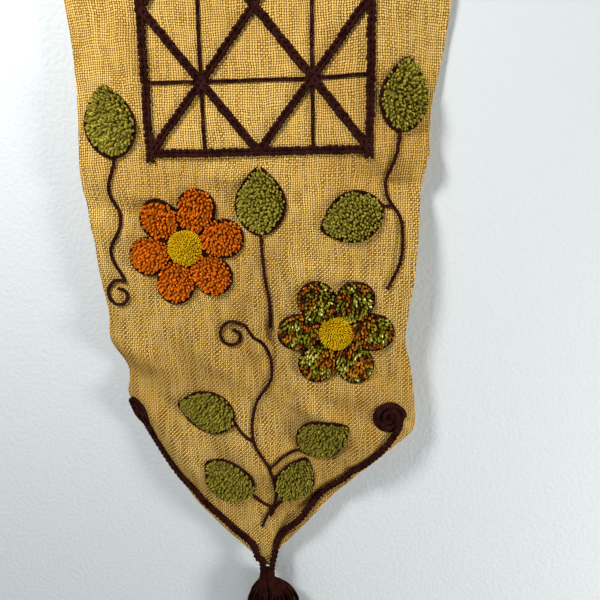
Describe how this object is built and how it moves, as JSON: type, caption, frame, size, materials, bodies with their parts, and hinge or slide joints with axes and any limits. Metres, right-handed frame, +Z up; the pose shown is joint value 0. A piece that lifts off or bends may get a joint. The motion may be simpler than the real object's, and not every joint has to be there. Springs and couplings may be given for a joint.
{
  "type": "yarn wall hanging",
  "caption": "Tall burlap wall hanging with a pointed foot, yarn trellis and vines, pile leaves and flowers, braided lower edges and a tassel.",
  "frame": {"origin": "middle of the cloth's top edge", "axes": "+Z up, the way it hangs; +X to the right seen from the front; the worked front faces -Y"},
  "size_m": [0.392, 0.0463, 1.0057],
  "materials": {
    "burlap": "ochre plain-weave burlap, matt, open between its threads",
    "brown_yarn": "very dark red-brown wool yarn, soft and matt",
    "green_pile": "olive green cut yarn pile with paler tips",
    "orange_pile": "orange cut yarn pile",
    "mixed_pile": "green, brown, ochre and pale green flecked cut yarn pile",
    "yellow_pile": "mustard yellow dense yarn pile"
  },
  "bodies": {
    "root": {"burlap_panel": "burlap", "trellis": "brown_yarn", "vine_middle": "brown_yarn", "vine_upper": "brown_yarn", "vine_left": "brown_yarn", "vine_right": "brown_yarn", "leaf_1": "green_pile", "leaf_2": "green_pile", "leaf_3": "green_pile", "leaf_4": "green_pile", "leaf_5": "green_pile", "leaf_6": "green_pile", "leaf_7": "green_pile", "leaf_8": "green_pile", "flower_left_outline": "brown_yarn", "flower_left_petal_1": "orange_pile", "flower_left_petal_2": "orange_pile", "flower_left_petal_3": "orange_pile", "flower_left_petal_4": "orange_pile", "flower_left_petal_5": "orange_pile", "flower_left_petal_6": "orange_pile", "flower_left_eye": "yellow_pile", "flower_right_outline": "brown_yarn", "flower_right_petal_1": "mixed_pile", "flower_right_petal_2": "mixed_pile", "flower_right_petal_3": "mixed_pile", "flower_right_petal_4": "mixed_pile", "flower_right_petal_5": "mixed_pile", "flower_right_petal_6": "mixed_pile", "flower_right_eye": "yellow_pile", "braid_left": "brown_yarn", "braid_right": "brown_yarn", "tassel": "brown_yarn"}
  },
  "joints": []
}
